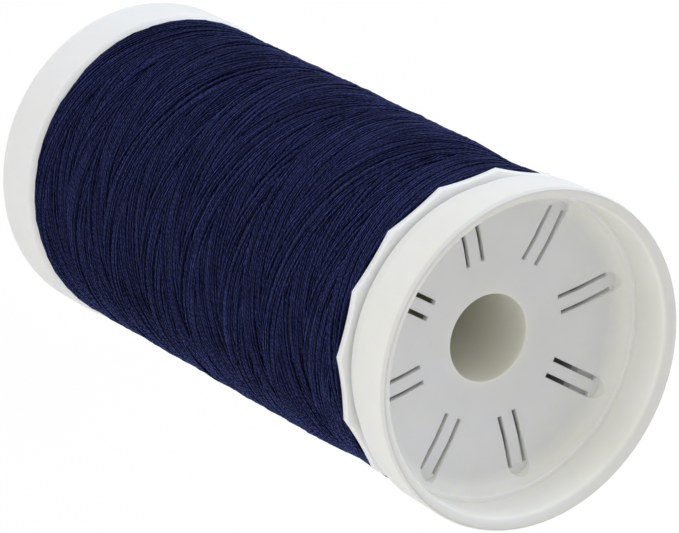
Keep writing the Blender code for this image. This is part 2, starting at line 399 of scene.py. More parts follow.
@dataclass(frozen=True)
class CoreFinish:
    """Thread seen at the bottom of the winding's grooves, coloured darker than the laid thread as painted
    shade.
    """

    name: str
    # Painted shade: near-black colours that stand for the shade at the bottom of the grooves.
    colour: Colour = (0.0012, 0.0018, 0.0110)
    light: Colour = (0.0030, 0.0050, 0.0300)
    ring_scale: float = 1.0 / (2.0 * math.pi * 0.0011)
    ring_bend: float = 1.5
    grain: float = 0.6
    grain_depth: float = 0.0001
    roughness: float = 0.8

    def build(self) -> bpy.types.Material:
        """Make the material.

        Returns:
            The finished material.
        """
        made, nodes, surface = new_material(self.name)
        place = nodes.add("ShaderNodeTexCoord").outputs["Object"]
        inputs = {"Vector": place, "Scale": self.ring_scale, "Distortion": self.ring_bend}
        rings = nodes.add("ShaderNodeTexWave", inputs, wave_type="BANDS", bands_direction="Z").outputs["Fac"]
        nodes.fill(surface, {
            "Base Color": nodes.mix(rings, self.colour, self.light),
            "Normal": nodes.bump(rings, self.grain, self.grain_depth),
            "Roughness": self.roughness,
        })
        return made


def arc(centre: Point, radius: float, start: float, end: float, steps: int) -> list[Point]:
    """Points on a circle in the profile plane.

    Args:
        centre: Radius and height of the circle's centre.
        radius: The circle's radius.
        start: First angle in degrees.
        end: Last angle in degrees.
        steps: Stretches between the points.

    Returns:
        The points, ends included.
    """
    angles = [math.radians(start + (end - start) * i / steps) for i in range(steps + 1)]
    return [(centre[0] + radius * math.cos(a), centre[1] + radius * math.sin(a)) for a in angles]


def turned(outline: list[Point], segments: int) -> bmesh.types.BMesh:
    """Spin a closed outline into a ring about Z.

    Args:
        outline: Closed outline as radius and height.
        segments: Steps round the ring.

    Returns:
        The ring, with its faces pointing out.
    """
    bm = bmesh.new()
    rings = []
    for i in range(segments):
        angle = 2.0 * math.pi * i / segments
        rings.append([bm.verts.new((r * math.cos(angle), r * math.sin(angle), z)) for r, z in outline])
    for i, ring in enumerate(rings):
        other = rings[(i + 1) % segments]
        for j in range(len(outline)):
            k = (j + 1) % len(outline)
            bm.faces.new((ring[j], other[j], other[k], ring[k]))
    if bm.calc_volume(signed=True) < 0.0:
        bmesh.ops.reverse_faces(bm, faces=bm.faces)
    return bm


def smooth(mesh: bpy.types.Mesh, sharp: float) -> None:
    """Shade a mesh smooth, with the edges past an angle in degrees left sharp."""
    mesh.shade_smooth()
    mesh.set_sharp_from_angle(angle=math.radians(sharp))


def add_piece(
    name: str, bm: bmesh.types.BMesh, finish: bpy.types.Material | None, sharp: float = 32.0
) -> bpy.types.Object:
    """Turn a bmesh into an object at the origin, shaded smooth.

    Args:
        name: The piece's name.
        bm: Its shape.
        finish: Its material, or None for a cutter.
        sharp: Edges past this angle in degrees stay sharp.

    Returns:
        The new object.
    """
    mesh = bpy.data.meshes.new(name)
    bm.to_mesh(mesh)
    bm.free()
    smooth(mesh, sharp)
    if finish is not None:
        mesh.materials.append(finish)
    made = bpy.data.objects.new(name, mesh)
    bpy.context.scene.collection.objects.link(made)
    return made


def cut(target: bpy.types.Object, cutters: list[bpy.types.Object]) -> None:
    """Subtract cutters from a piece, for good, and delete them.

    Args:
        target: Piece to cut.
        cutters: What to take away.
    """
    for cutter in cutters:
        step = target.modifiers.new(cutter.name, "BOOLEAN")
        step.operation = "DIFFERENCE"
        step.solver = "EXACT"
        step.object = cutter
    graph = bpy.context.evaluated_depsgraph_get()
    mesh = bpy.data.meshes.new_from_object(target.evaluated_get(graph), depsgraph=graph)
    target.modifiers.clear()
    target.data = mesh
    for cutter in cutters:
        bpy.data.objects.remove(cutter, do_unlink=True)


def settle(piece: bpy.types.Object, body: Body, slot: Slot, *nodes: str) -> bpy.types.Object:
    """Give a piece its body and hide the CAD nodes that it stands for.

    Args:
        piece: The finished piece.
        body: Body that it rides on.
        slot: Not used.
        nodes: CAD nodes that it replaces.

    Returns:
        The same piece.
    """
    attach(piece, body.value)
    if nodes:
        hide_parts(*nodes)
    LOG.info("%s: %d faces, on %s", piece.name, len(piece.data.polygons), body.value)
    return piece


@dataclass
class FrameSizes:
    """Sizes read from the CAD nodes."""

    top: float = 0.0
    rim: float = 0.0
    scallop_top: float = 0.0
    core_low: float = 0.0
    core_high: float = 0.0
    winding: float = 0.0

    @classmethod
    def read(cls) -> "FrameSizes":
        """Measure the nodes.

        Returns:
            The sizes.
        """
        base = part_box("snap_base")[1]
        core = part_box("thread_core")
        return cls(
            top=base.z,
            rim=base.x,
            scallop_top=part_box("spool_body")[1].z,
            core_low=core[0].z,
            core_high=core[1].z,
            winding=-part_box("thread_turns")[0].x,
        )


@dataclass
class SpoolShell:
    """Fixed moulding: foot flange, barrel and scalloped flange."""

    sizes: FrameSizes
    finish: bpy.types.Material
    segments: int = 192
    edge: float = 0.0004
    foot_edge: float = 0.0009
    foot_band: float = 0.0054
    shoulder: float = 0.0004
    shoulder_step: float = 0.0006
    foot_wall: float = 0.0014
    foot_web: float = 0.0012
    fillet: float = 0.0005
    barrel_outer: float = 0.0114
    barrel_bore: float = 0.0104
    land: float = 0.0030
    groove: float = 0.0005
    groove_length: float = 0.0043
    bore: float = 0.0039
    sleeve_wall: float = 0.0009
    sleeve_length: float = 0.0200
    bore_round: float = 0.0007
    scallops: int = 16
    tip: float = 0.0148
    hollow: float = 0.00041
    thickness: float = 0.0007
    turn: float = math.radians(5.08)
    lip: float = 0.00012
    seam_nudge: float = 1e-6

    def outline(self) -> list[Point]:
        """Closed outline of the whole moulding.

        Returns:
            Points as radius and height.
        """
        rim = self.sizes.rim
        face = self.foot_band + self.shoulder
        recess = rim - self.foot_wall
        ceiling = face - self.foot_web
        sleeve = self.bore + self.sleeve_wall
        top = self.sizes.scallop_top
        under = top - self.thickness
        points = arc((recess + self.edge / 2, self.edge / 2), self.edge / 2, 180.0, 270.0, 3)
        points += arc((rim - self.foot_edge, self.foot_edge), self.foot_edge, -90.0, 0.0, 10)
        points += arc((rim - self.edge / 2, self.foot_band - self.edge / 2), self.edge / 2, 0.0, 50.0, 3)
        points += [(rim - self.shoulder_step, face), (self.barrel_outer, face), (self.barrel_outer, under)]
        points += arc((self.tip - self.lip, under + self.lip), self.lip, -90.0, 0.0, 3)
        points += arc((self.tip - self.lip, top - self.lip), self.lip, 0.0, 90.0, 3)
        points += [(self.barrel_bore + self.edge, top)]
        points += [(self.barrel_bore, top - self.edge), (self.barrel_bore, top - self.land)]
        points += [(self.barrel_bore + self.groove, top - self.land)]
        points += [(self.barrel_bore + self.groove, top - self.land - self.groove_length)]
        points += [(self.barrel_bore, top - self.land - self.groove_length - self.groove)]
        points += [(self.barrel_bore, face), (sleeve, face), (sleeve, ceiling + self.sleeve_length)]
        points += [(self.bore, ceiling + self.sleeve_length)]
        mouth = (self.bore + self.bore_round, ceiling + self.bore_round)
        points += arc(mouth, self.bore_round, 180.0, 270.0, 6)
        points += arc((recess - self.fillet, ceiling - self.fillet), self.fillet, 90.0, 0.0, 4)
        return points

    def scalloped(self, angle: float) -> float:
        """Radius of the scalloped edge at an angle.

        Args:
            angle: Angle from a tip, in radians.

        Returns:
            The radius.
        """
        along = (angle * self.scallops / (2.0 * math.pi)) % 1.0
        return self.tip - self.hollow * 4.0 * along * (1.0 - along)

    def build(self) -> bpy.types.Object:
        """Make the moulding.

        Returns:
            The finished piece.
        """
        bm = turned(self.outline(), self.segments)
        under = self.sizes.scallop_top - self.thickness
        for vert in bm.verts:
            radius = vert.co.xy.length
            if vert.co.z > under - self.lip and radius > self.barrel_outer + self.edge:
                wanted = self.scalloped(math.atan2(vert.co.y, vert.co.x) + self.seam_nudge)
                vert.co.xy *= (radius - self.tip + wanted) / radius
        bmesh.ops.rotate(bm, verts=bm.verts, cent=(0, 0, 0), matrix=Matrix.Rotation(self.turn, 3, "Z"))
        piece = add_piece("spool_shell", bm, self.finish, MOULDED_SHARP)
        return settle(piece, Body.SPOOL, Slot.SHELL, "spool_body")


@dataclass
class BaseCup:
    """Moving moulding: the snap base, a shallow cup with finger marks, slots and hooks."""

    sizes: FrameSizes
    finish: bpy.types.Material
    segments: int = 192
    depth: float = 0.00585
    floor_thickness: float = 0.0006
    band_set_back: float = 0.0001
    band_drop: float = 0.0045
    neck_set_back: float = 0.00105
    neck_wall: float = 0.00055
    rim_width: float = 0.00105
    outer_edge: float = 0.00018
    inner_edge: float = 0.0009
    cutter_margin: float = 0.0004
    small_edge: float = 0.00012
    wall_draft: float = 0.0001
    ledge_drop: float = 0.0041
    fillet: float = 0.0015
    bore: float = 0.0039
    sleeve_wall: float = 0.0009
    sleeve_length: float = 0.0200
    bore_round: float = 0.00012
    dish: float = 0.00066
    dish_rim: float = 0.0119
    dish_curve: float = 1.8
    skirt_outer: float = 0.0101
    skirt_wall: float = 0.0009
    hook_radius: float = 0.0106
    hook_drop: float = 0.0061
    hook_height: float = 0.0012
    fingers: int = 8
    finger_half: float = 0.00103
    finger_end: float = 0.0132
    finger_length: float = 0.0062
    finger_sink: float = 0.0002
    finger_start: float = 0.05
    slot_offset: float = 0.00075
    slot_width: float = 0.0004
    slot_inner: float = 0.00725
    slot_outer: float = 0.0124
    slot_margin: float = 0.00015
    hook_gap: float = 0.0026

    @property
    def floor(self) -> float:
        """Height of the floor's top."""
        return self.sizes.top - self.depth

    @property
    def underside(self) -> float:
        """Height of the floor's lower face."""
        return self.floor - self.floor_thickness

    def sag(self, radius: float) -> float:
        """How far the dished floor lies below its edge at a distance from the axis.

        Args:
            radius: Distance from the axis.

        Returns:
            The drop.
        """
        share = max(0.0, (self.dish_rim - radius) / (self.dish_rim - self.bore))
        return self.dish * share**self.dish_curve

    def dished(self, height: float, first: float, last: float, steps: int = 12) -> list[Point]:
        """Curve of the dished floor between two distances from the axis.

        Args:
            height: Height of the floor's edge.
            first: Where the curve starts.
            last: Where it ends.
            steps: Number of pieces.

        Returns:
            Points as radius and height.
        """
        radii = [first + (last - first) * i / steps for i in range(steps + 1)]
        return [(radius, height - self.sag(radius)) for radius in radii]

    def outline(self) -> list[Point]:
        """Closed outline of the cup, before its fingers are cut.

        Returns:
            Points as radius and height.
        """
        top, rim = self.sizes.top, self.sizes.rim
        band = rim - self.band_set_back
        band_low = top - self.band_drop
        neck = rim - self.neck_set_back
        inside = neck - self.neck_wall
        inner_rim = rim - self.rim_width
        ledge = top - self.ledge_drop
        small = self.small_edge
        sleeve = self.bore + self.sleeve_wall
        hook = self.underside - self.hook_drop
        points = arc((rim - self.outer_edge, top - self.outer_edge), self.outer_edge, 90.0, 0.0, 5)
        points += arc((band - small, band_low + small), small, 0.0, -90.0, 4)
        points += arc((neck + small, band_low - small), small, 90.0, 180.0, 3)
        points += arc((neck - small, self.underside + small), small, 0.0, -90.0, 3)
        points += [(self.skirt_outer, self.underside), (self.skirt_outer, hook), (self.hook_radius, hook)]
        points += [(self.hook_radius, hook - self.hook_height / 3), (self.skirt_outer, hook - self.hook_height)]
        points += [(self.skirt_outer - self.skirt_wall, hook - self.hook_height)]
        points += self.dished(self.underside, self.skirt_outer - self.skirt_wall, sleeve)
        points += [(sleeve, self.floor - self.sleeve_length), (self.bore, self.floor - self.sleeve_length)]
        mouth = self.bore + self.bore_round
        points += arc((mouth, self.floor - self.sag(mouth) - self.bore_round), self.bore_round, 180.0, 100.0, 4)
        points += self.dished(self.floor, mouth, self.dish_rim)
        points += arc((inside - self.fillet, self.floor + self.fillet), self.fillet, -90.0, 0.0, 10)
        points += arc((inside + small, ledge - small), small, 180.0, 90.0, 3)
        points += [(inner_rim - self.wall_draft, ledge)]
        points += arc((inner_rim + self.inner_edge, top - self.inner_edge), self.inner_edge, 180.0, 90.0, 7)
        return points

    def finger_outline(self) -> list[Point]:
        """Outline of one finger mark along +X.

        Returns:
            Points as x and y.
        """
        start = self.finger_end - self.finger_length
        centre = self.finger_end - self.finger_half
        round_end = arc((centre, 0.0), self.finger_half, -90.0, 90.0, 16)
        return [(start, -self.finger_half)] + round_end + [(start, self.finger_half)]

    def finger_floor(self, x: float) -> float:
        """Height of a finger mark's ramp at a distance from the axis.

        Args:
            x: Distance from the axis.

        Returns:
            The height.
        """
        start = self.finger_end - self.finger_length
        return self.floor + self.finger_sink * (self.finger_start - (x - start) / self.finger_length)

    def bar(self, inner: float, outer: float, low_y: float, high_y: float) -> list[Point]:
        """Outline of a straight bar along +X.

        Args:
            inner: Nearest x.
            outer: Furthest x.
            low_y: Lowest y.
            high_y: Highest y.

        Returns:
            Points as x and y.
        """
        return [(inner, low_y), (outer, low_y), (outer, high_y), (inner, high_y)]

    def cutter(
        self,
        name: str,
        outlines: list[list[Point]],
        low: Callable[[float], float],
        high: float,
    ) -> bpy.types.Object:
        """Repeat prisms round the axis, once for each finger.

        Args:
            name: The cutter's name.
            outlines: Outlines of the prisms along +X.
            low: Height of a prism's lower face at a distance from the axis.
            high: Height of its upper face.

        Returns:
            The cutter.
        """
        bm = bmesh.new()
        for i in range(self.fingers):
            turn = Matrix.Rotation(2.0 * math.pi * i / self.fingers, 3, "Z")
            for outline in outlines:
                base = [bm.verts.new(turn @ Vector((x, y, low(x)))) for x, y in outline]
                lid = [bm.verts.new(turn @ Vector((x, y, high))) for x, y in outline]
                bm.faces.new(list(reversed(base)))
                bm.faces.new(lid)
                for j in range(len(outline)):
                    k = (j + 1) % len(outline)
                    bm.faces.new((base[j], base[k], lid[k], lid[j]))
        return add_piece(name, bm, None)

    def build(self) -> bpy.types.Object:
        """Make the cup with its marks, slots and hooks.

        Returns:
            The finished piece.
        """
        piece = add_piece("base_cup", turned(self.outline(), self.segments), self.finish, MOULDED_SHARP)
        above = self.floor + self.depth / 2
        under = self.underside - self.slot_margin
        half = self.slot_width / 2
        middles = (-self.slot_offset, self.slot_offset)
        slots = [self.bar(self.slot_inner, self.slot_outer, y - half, y + half) for y in middles]
        gap = self.bar(
            self.skirt_outer - self.skirt_wall - self.cutter_margin,
            self.hook_radius + self.cutter_margin,
            -self.hook_gap / 2,
            self.hook_gap / 2,
        )
        lowest = self.underside - self.hook_drop - self.hook_height - self.cutter_margin
        cutters = [
            self.cutter("finger_marks", [self.finger_outline()], self.finger_floor, above),
            self.cutter("finger_slots", slots, lambda x: under - self.sag(x), above),
            self.cutter("hook_gaps", [gap], lambda x: lowest, self.underside),
        ]
        cut(piece, cutters)
        smooth(piece.data, MOULDED_SHARP)
        return settle(piece, Body.BASE, Slot.BASE, "snap_base")


@dataclass(frozen=True)
class Wander:
    """Slow noise that follows the threads: where it is read, and its features in a step of one."""

    shift: float
    scale: float


@dataclass(frozen=True)
class Groups:
    """Neighbouring threads gathered into groups of one size, with wandering grooves between them."""

    kind: str
    strength: Wander
    weakest: float
    strongest: float
    drift: Wander
    drift_reach: float


@dataclass
class Winding:
    """Fine thread laid to and fro between the flanges as one closed crossed layer.

    One stroke is a trip up and a trip down the spool. Each stroke lies one thread beside the one before
    it, so rising and falling threads cross, and the newer of the two lies on top.
    """

    sizes: FrameSizes
    core_finish: bpy.types.Material
    thread_finish: bpy.types.Material
    clearance: float = 0.0003
    thread: float = 0.000195
    strokes: int = 60
    turns_a_stroke: int = 8
    stretches: int = 3
    points_a_turn: int = 48
    sides: int = 8
    dwell: float = 0.043
    end_calm: float = 12.0
    fray: float = 0.0006
    fray_scale: float = 1.3
    sunk: float = 0.00022
    crossing: float = 0.03
    spread: float = 0.0007
    bunch: Wander = Wander(0.0, 1.5)
    relief: float = 0.00035
    ridge: Wander = Wander(31.7, 2.2)
    fine: Groups = Groups("Fine", Wander(11.3, 0.8), 0.35, 1.35, Wander(73.1, 0.6), 2.0)
    fine_strands: float = 2.45
    fine_gap: float = 0.50
    broad: Groups = Groups("Broad", Wander(57.9, 0.6), 0.40, 1.45, Wander(93.7, 0.35), 2.5)
    broad_strands: float = 6.3
    broad_gap: float = 0.48
    strength_range: float = 0.12
    groove: float = 0.00010
    groove_narrowness: float = 3.0
    swell: float = 0.00030
    swell_scale: float = 8.0
    taper: float = 0.00025
    waist: float = 0.00025
    waist_span: float = 0.0120
    phase: float = math.radians(17.0)
    stroke_step: float = 0.29
    round_step: float = 0.7
    climb_step: float = 3.8
    shift_way: tuple[float, float, float] = (1.0, 0.31, 0.17)
    seed: int = 5
    seed_step: float = 7.31
    barrel: float = 0.0114
    core_depth: float = 0.00034
    core_margin: float = 0.0002
    core_steps: int = 48
    core_segments: int = 128
    proud: float = 0.00008

    @property
    def low(self) -> float:
        """Height of the lowest turn's centre."""
        return self.sizes.core_low - self.clearance + self.thread / 2

    @property
    def high(self) -> float:
        """Height of the highest turn's centre."""
        return self.sizes.core_high + self.clearance - self.thread / 2

    def values(self, stretch: int) -> dict[str, object]:
        """Values of the tree's named inputs.

        Args:
            stretch: The stretch's number, 0 for the oldest.

        Returns:
            Each input's name and value.
        """
        strokes = self.strokes / self.stretches
        turns = self.turns_a_stroke + 1.0 / self.strokes
        return {
            "Radius": self.sizes.winding + self.proud - self.thread / 2,
            "Low": self.low,
            "High": self.high,
            "First stroke": strokes * stretch,
            "Strokes": strokes,
            "All strokes": float(self.strokes),
            "Turns": turns,
            "Dwell": self.dwell,
            "Fray": self.fray,
            "Sunk": self.sunk,
            "Spread": self.spread,
            "Relief": self.relief,
            "Swell": self.swell,
            "Taper": self.taper,
            "Waist": self.waist,
            "Waist span": self.waist_span,
            "Phase": self.phase,
            "Thread": self.thread,
            "Spacing": 2.0 * (self.high - self.low) / self.turns_a_stroke / self.strokes,
            "Fine strands": self.fine_strands,
            "Fine gap": self.fine_gap,
            "Broad strands": self.broad_strands,
            "Broad gap": self.broad_gap,
            "Groove": self.groove,
            "Points": int(strokes * turns * self.points_a_turn) + 1,
            "Sides": self.sides,
            "Seed": self.seed,
            "Finish": self.thread_finish,
        }

    def start_tree(self) -> tuple[bpy.types.NodeTree, dict[str, str]]:
        """Start the node tree with its named inputs.

        Returns:
            The tree, and the identifier of each input.
        """
        kinds = {float: "NodeSocketFloat", int: "NodeSocketInt", bpy.types.Material: "NodeSocketMaterial"}
        tree = bpy.data.node_groups.new("lay_thread", "GeometryNodeTree")
        tree.interface.new_socket("Geometry", in_out="OUTPUT", socket_type="NodeSocketGeometry")
        names = {}
        for label, value in self.values(0).items():
            made = tree.interface.new_socket(label, in_out="INPUT", socket_type=kinds[type(value)])
            names[label] = made.identifier
        return tree, names

    def wandering(
        self, nodes: Shader, stroke: Socket, angle: Socket, climb: Socket, seed: Socket
    ) -> Callable[[Wander], Socket]:
        """Prepare noises that follow a thread and change slowly from one thread to the next.

        Args:
            nodes: Writer of the tree.
            stroke: Number of the stroke.
            angle: Angle round the spool.
            climb: Share of the way up.
            seed: Seed of the noises.

        Returns:
            A function that adds one of them.
        """
        family = nodes.vector(
            X=nodes.math("MULTIPLY_ADD", stroke, self.stroke_step, seed),
            Y=nodes.math("MULTIPLY", nodes.math("COSINE", angle), self.round_step),
            Z=nodes.math("MULTIPLY", nodes.math("SINE", angle), self.round_step),
        )
        level = nodes.math("MULTIPLY", climb, self.climb_step)

        def wander(rule: Wander) -> Socket:
            """Add one noise.

            Args:
                rule: Where it is read, and its scale.

            Returns:
                Its value, from -0.5 to 0.5.
            """
            shift = tuple(part * rule.shift for part in self.shift_way)
            moved = nodes.add("ShaderNodeVectorMath", {0: family, 1: shift}, operation="ADD").outputs[0]
            return nodes.math("SUBTRACT", nodes.noise(moved, rule.scale, fourth=level), 0.5)

        return wander

    def grooves(
        self,
        nodes: Shader,
        given: bpy.types.NodeOutputs,
        groups: Groups,
        stroke: Socket,
        wander: Callable[[Wander], Socket],
    ) -> tuple[Socket, Socket]:
        """Gather neighbouring threads into groups with a groove between them.

        Args:
            nodes: Writer of the tree.
            given: The tree's named inputs.
            groups: The rule of the groups.
            stroke: Number of the stroke.
            wander: Adds a noise that follows the threads.

        Returns:
            How far a thread moves aside, and how far it sinks.
        """
        reach = self.strength_range
        strength = nodes.span(wander(groups.strength), groups.weakest, groups.strongest, -reach, reach)
        drift = nodes.math("MULTIPLY", wander(groups.drift), groups.drift_reach)
        strands = given[f"{groups.kind} strands"]
        share = nodes.math("ADD", nodes.math("DIVIDE", stroke, strands), drift)
        turn = nodes.math("MULTIPLY", share, 2.0 * math.pi)
        wave = nodes.math("SINE", turn)
        for order in (2.0, 3.0):
            part = nodes.math("SINE", nodes.math("MULTIPLY", turn, order))
            wave = nodes.math("MULTIPLY_ADD", part, 1.0 / order, wave)
        width = nodes.math("MULTIPLY", given["Spacing"], strands)
        shove = nodes.math("MULTIPLY", width, given[f"{groups.kind} gap"])
        shove = nodes.math("MULTIPLY", nodes.math("DIVIDE", shove, 2.0 * math.pi), strength)
        bottom = nodes.math("MULTIPLY_ADD", nodes.math("COSINE", turn), 0.5, 0.5)
        bottom = nodes.math("POWER", bottom, self.groove_narrowness)
        sink = nodes.math("MULTIPLY", nodes.math("MULTIPLY", bottom, given["Groove"]), strength)
        return nodes.math("MULTIPLY", wave, shove), sink

    def cover(
        self, nodes: Shader, given: bpy.types.NodeOutputs, stroke: Socket, spin: Socket, swing: Socket
    ) -> Socket:
        """Tell where a thread passes under the one that crosses it.

        Args:
            nodes: Writer of the tree.
            given: The tree's named inputs.
            stroke: Number of the stroke.
            spin: Turns since the first stroke.
            swing: Share of the way up, before the dwell.

        Returns:
            How far the thread is buried, from 0 to 1.
        """
        falling = nodes.math("GREATER_THAN", nodes.math("FRACT", stroke), 0.5)
        turned_by = nodes.math("MULTIPLY", nodes.math("MULTIPLY", swing, given["Turns"]), 0.5)
        sense = nodes.math("MULTIPLY_ADD", falling, -2.0, 1.0)
        crossed = nodes.math("FRACT", nodes.math("MULTIPLY_ADD", turned_by, sense, spin))
        newer = nodes.math("SUBTRACT", nodes.math("DIVIDE", stroke, given["All strokes"]), crossed)
        over = nodes.span(newer, 0.0, 1.0, -self.crossing, self.crossing, smooth=True)
        return nodes.math("SUBTRACT", 1.0, over)

    @staticmethod
    def distance(nodes: Shader, given: bpy.types.NodeOutputs, climb: Socket, height: Socket) -> Socket:
        """Set how far the winding's plain surface lies from the axis.

        Args:
            nodes: Writer of the tree.
            given: The tree's named inputs.
            climb: Share of the way up.
            height: Height of the thread.

        Returns:
            The distance.
        """
        near = nodes.math("DIVIDE", nodes.math("SUBTRACT", given["High"], height), given["Waist span"])
        near = nodes.math("MINIMUM", near, 1.0)
        pinch = nodes.math("POWER", nodes.math("SINE", nodes.math("MULTIPLY", near, math.pi)), 2.0)
        radius = nodes.math("SUBTRACT", given["Radius"], nodes.math("MULTIPLY", given["Waist"], pinch))
        return nodes.math("SUBTRACT", radius, nodes.math("MULTIPLY", given["Taper"], climb))

    def path(self, nodes: Shader, given: bpy.types.NodeOutputs) -> tuple[Socket, Socket]:
        """Centre line of one stretch of thread.

        Args:
            nodes: Writer of the tree.
            given: The tree's named inputs.

        Returns:
            Where each of its points goes, and how far the thread there is buried, from 0 to 1.
        """
        share = nodes.add("GeometryNodeSplineParameter").outputs["Factor"]
        stroke = nodes.math("MULTIPLY_ADD", share, given["Strokes"], given["First stroke"])
        spin = nodes.math("MULTIPLY", stroke, given["Turns"])
        angle = nodes.math("MULTIPLY_ADD", spin, 2.0 * math.pi, given["Phase"])
        swing = nodes.math("PINGPONG", nodes.math("MULTIPLY", stroke, 2.0), 1.0)
        wide = nodes.math("ADD", given["Dwell"], 1.0)
        climb = nodes.math("MULTIPLY_ADD", nodes.math("SUBTRACT", swing, 0.5), wide, 0.5)
        climb = nodes.math("MINIMUM", nodes.math("MAXIMUM", climb, 0.0), 1.0)
        ends = nodes.math("MULTIPLY", nodes.math("PINGPONG", climb, 0.5), self.end_calm)
        ends = nodes.math("MINIMUM", ends, 1.0)

        seed = nodes.math("MULTIPLY", given["Seed"], self.seed_step)
        wander = self.wandering(nodes, stroke, angle, climb, seed)
        fine_aside, fine_sink = self.grooves(nodes, given, self.fine, stroke, wander)
        broad_aside, broad_sink = self.grooves(nodes, given, self.broad, stroke, wander)

        fray = nodes.line_noise(nodes.math("ADD", stroke, seed), self.fray_scale)
        fray = nodes.math("MULTIPLY", fray, given["Fray"])
        low = nodes.math("ADD", given["Low"], fray)
        high = nodes.math("SUBTRACT", given["High"], fray)
        height = nodes.math("MULTIPLY_ADD", climb, nodes.math("SUBTRACT", high, low), low)
        aside = nodes.math("ADD", fine_aside, broad_aside)
        aside = nodes.math("MULTIPLY_ADD", wander(self.bunch), given["Spread"], aside)
        height = nodes.math("ADD", height, nodes.math("MULTIPLY", aside, ends))
        height = nodes.math("MINIMUM", nodes.math("MAXIMUM", height, given["Low"]), given["High"])

        under = self.cover(nodes, given, stroke, spin, swing)
        radius = self.distance(nodes, given, climb, height)
        radius = nodes.math("SUBTRACT", radius, nodes.math("MULTIPLY", given["Sunk"], under))
        radius = nodes.math("ADD", radius, nodes.math("MULTIPLY", wander(self.ridge), given["Relief"]))
        radius = nodes.math("SUBTRACT", radius, nodes.math("ADD", fine_sink, broad_sink))
        bulge = nodes.vector(Z=nodes.math("MULTIPLY", climb, self.swell_scale))
        slow = nodes.math("SUBTRACT", nodes.noise(bulge, 1.0, 1.0), 0.5)
        radius = nodes.math("ADD", radius, nodes.math("MULTIPLY", slow, given["Swell"]))
        place = nodes.vector(
            X=nodes.math("MULTIPLY", radius, nodes.math("COSINE", angle)),
            Y=nodes.math("MULTIPLY", radius, nodes.math("SINE", angle)),
            Z=height,
        )
        return place, under

    @staticmethod
    def capture(nodes: Shader, curve: Socket, label: str, measure: str) -> bpy.types.NodeOutputs:
        """Keep a measure of a curve's points on the curve.

        Args:
            nodes: Writer of the tree.
            curve: The curve.
            label: Name to keep the measure under.
            measure: What to keep, Length or Factor.

        Returns:
            The curve, as Geometry, and the measure, under its label.
        """
        node = nodes.add("GeometryNodeCaptureAttribute", domain="POINT")
        node.capture_items.new("FLOAT", label)
        value = nodes.add("GeometryNodeSplineParameter").outputs[measure]
        nodes.fill(node, {"Geometry": curve, label: value})
        return node.outputs

    @staticmethod
    def keep(nodes: Shader, shape: Socket, name: str, value: Socket, kind: str, domain: str) -> Socket:
        """Store a named attribute for the finish to read.

        Args:
            nodes: Writer of the tree.
            shape: What to store it on.
            name: The attribute's name.
            value: Its value.
            kind: Its data type.
            domain: Where it is stored.

        Returns:
            The shape with the attribute.
        """
        inputs = {"Geometry": shape, "Name": name, "Value": value}
        node = nodes.add("GeometryNodeStoreNamedAttribute", inputs, data_type=kind, domain=domain)
        return node.outputs[0]

    def tree(self) -> tuple[bpy.types.NodeTree, dict[str, str]]:
        """Build the node tree that lays one stretch of thread.

        Returns:
            The tree, and the identifier of each named input.
        """
        tree, names = self.start_tree()
        nodes = Shader(tree)
        given = nodes.add("NodeGroupInput").outputs
        line = nodes.add("GeometryNodeCurvePrimitiveLine").outputs[0]
        line = nodes.add("GeometryNodeResampleCurve", {"Curve": line, "Count": given["Points"]}).outputs[0]
        place, under = self.path(nodes, given)
        line = self.keep(nodes, line, BURIED, under, "FLOAT", "POINT")
        line = nodes.add("GeometryNodeSetPosition", {"Geometry": line, "Position": place}).outputs[0]
        line = nodes.add("GeometryNodeSetCurveNormal", {"Curve": line}, mode="Z_UP").outputs[0]
        along = self.capture(nodes, line, "Length", "Length")

        radius = nodes.math("MULTIPLY", given["Thread"], 0.5)
        inputs = {"Resolution": given["Sides"], "Radius": radius}
        ring = nodes.add("GeometryNodeCurvePrimitiveCircle", inputs, mode="RADIUS").outputs[0]
        inputs = {"Geometry": ring, "Rotation": (0.0, 0.0, math.pi)}
        ring = nodes.add("GeometryNodeTransform", inputs).outputs[0]
        around = self.capture(nodes, ring, "Around", "Factor")

        inputs = {"Curve": along["Geometry"], "Profile Curve": around["Geometry"], "Fill Caps": True}
        tube = nodes.add("GeometryNodeCurveToMesh", inputs).outputs[0]
        uv = nodes.vector(X=nodes.math("DIVIDE", along["Length"], MM), Y=around["Around"])
        tube = self.keep(nodes, tube, THREAD_MAP, uv, "FLOAT2", "CORNER")
        tube = nodes.add("GeometryNodeSetShadeSmooth", {"Geometry": tube}).outputs[0]
        tube = nodes.add("GeometryNodeRealizeInstances", {0: tube}).outputs[0]
        inputs = {"Geometry": tube, "Material": given["Finish"]}
        tube = nodes.add("GeometryNodeSetMaterial", inputs).outputs[0]
        nodes.add("NodeGroupOutput", {0: tube})
        return tree, names

    def lay(self, stretch: int, tree: bpy.types.NodeTree, names: dict[str, str]) -> bpy.types.Object:
        """Run the tree for one stretch and keep its mesh.

        Args:
            stretch: The stretch's number, 0 for the oldest.
            tree: The node tree.
            names: Identifier of each named input.

        Returns:
            The stretch as a plain mesh.
        """
        name = f"thread_stretch_{stretch + 1}"
        holder = bpy.data.objects.new(name, bpy.data.meshes.new(name))
        bpy.context.scene.collection.objects.link(holder)
        modifier = holder.modifiers.new("lay", "NODES")
        modifier.node_group = tree
        for label, value in self.values(stretch).items():
            modifier[names[label]] = value
        graph = bpy.context.evaluated_depsgraph_get()
        mesh = bpy.data.meshes.new_from_object(holder.evaluated_get(graph), depsgraph=graph)
        bpy.data.objects.remove(holder, do_unlink=True)
        piece = bpy.data.objects.new(name, mesh)
        bpy.context.scene.collection.objects.link(piece)
        return settle(piece, Body.SPOOL, Slot.THREAD, "thread_turns")

